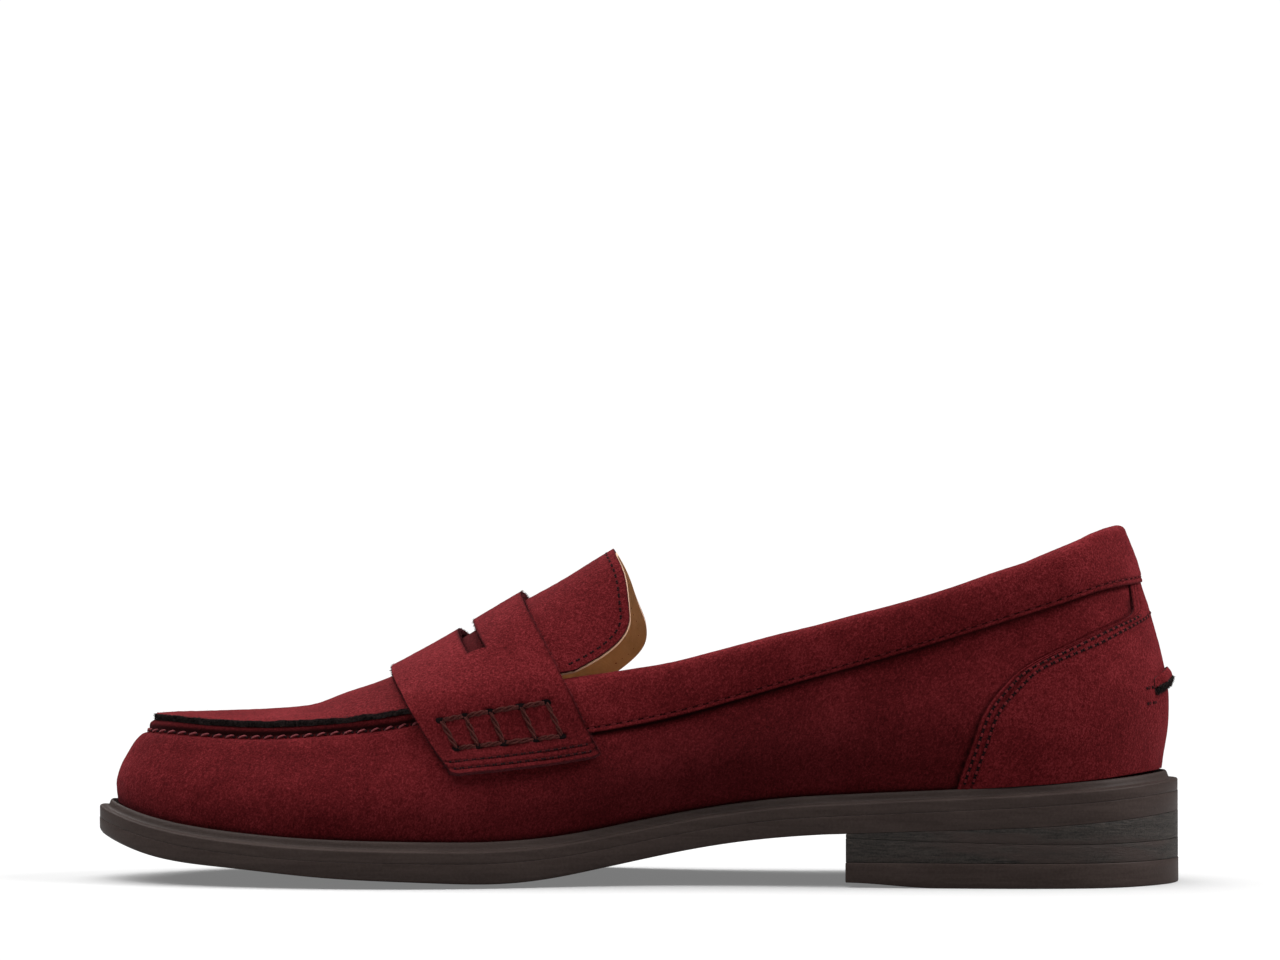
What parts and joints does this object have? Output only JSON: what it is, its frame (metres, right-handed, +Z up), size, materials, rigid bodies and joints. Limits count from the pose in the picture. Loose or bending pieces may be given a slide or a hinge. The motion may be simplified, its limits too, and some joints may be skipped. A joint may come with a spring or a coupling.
{
  "type": "penny loafer",
  "caption": "Suede penny loafer, right shoe: moccasin apron, slotted saddle strap laced at both ends, free tongue, padded collar, welted sole and low stacked heel.",
  "frame": {"origin": "on the ground under the middle of the shoe's box", "axes": "-X towards the toe, +X towards the heel, +Y towards the outer side of the foot, +Z up"},
  "size_m": [0.2718, 0.0952, 0.0893],
  "materials": {
    "suede": "burgundy suede, napped, matte",
    "tan_lining": "smooth tan lining",
    "rubber": "satin dark brown moulding",
    "stacked_heel": "dark brown, grained to look like stacked leather",
    "waxed_thread": "waxed brown cord",
    "sewing_thread": "maroon thread",
    "cork": "matte cork compound",
    "board": "pressed fibre board",
    "foam": "matte foam",
    "fibre": "resin-stiffened fibre",
    "steel": "bright"
  },
  "bodies": {
    "root": {"outsole": "rubber", "welt": "rubber", "top_lift": "rubber", "heel_lift_upper": "stacked_heel", "heel_lift_lower": "stacked_heel", "bottom_filler": "cork", "insole_board": "board", "shank": "steel", "footbed": "foam", "sock_liner": "tan_lining", "heel_nail_1": "steel", "heel_nail_2": "steel", "heel_nail_3": "steel", "heel_nail_4": "steel", "vamp": "suede", "vamp_lining": "tan_lining", "toe_puff": "fibre", "quarter_lining": "tan_lining", "heel_stiffener": "fibre", "heel_grip": "suede", "counter_cover": "suede", "heel_tab": "suede", "collar_band": "suede", "collar_foam": "foam", "saddle_strap": "suede", "strap_lacing_medial": "waxed_thread", "strap_lacing_lateral": "waxed_thread", "apron": "suede", "apron_lining": "tan_lining", "tongue_root": "suede", "moc_seam_thread": "sewing_thread"},
    "tongue": {"tongue": "suede", "tongue_lining": "tan_lining"}
  },
  "joints": [
    {"name": "tongue_bend", "type": "hinge", "parent": "root", "child": "tongue", "pos_m": [-0.02685, -0.00158, 0.0705], "axis": [0, -1, 0], "range_deg": [-3, 22], "stiffness_Nm_per_rad": 0.02}
  ]
}
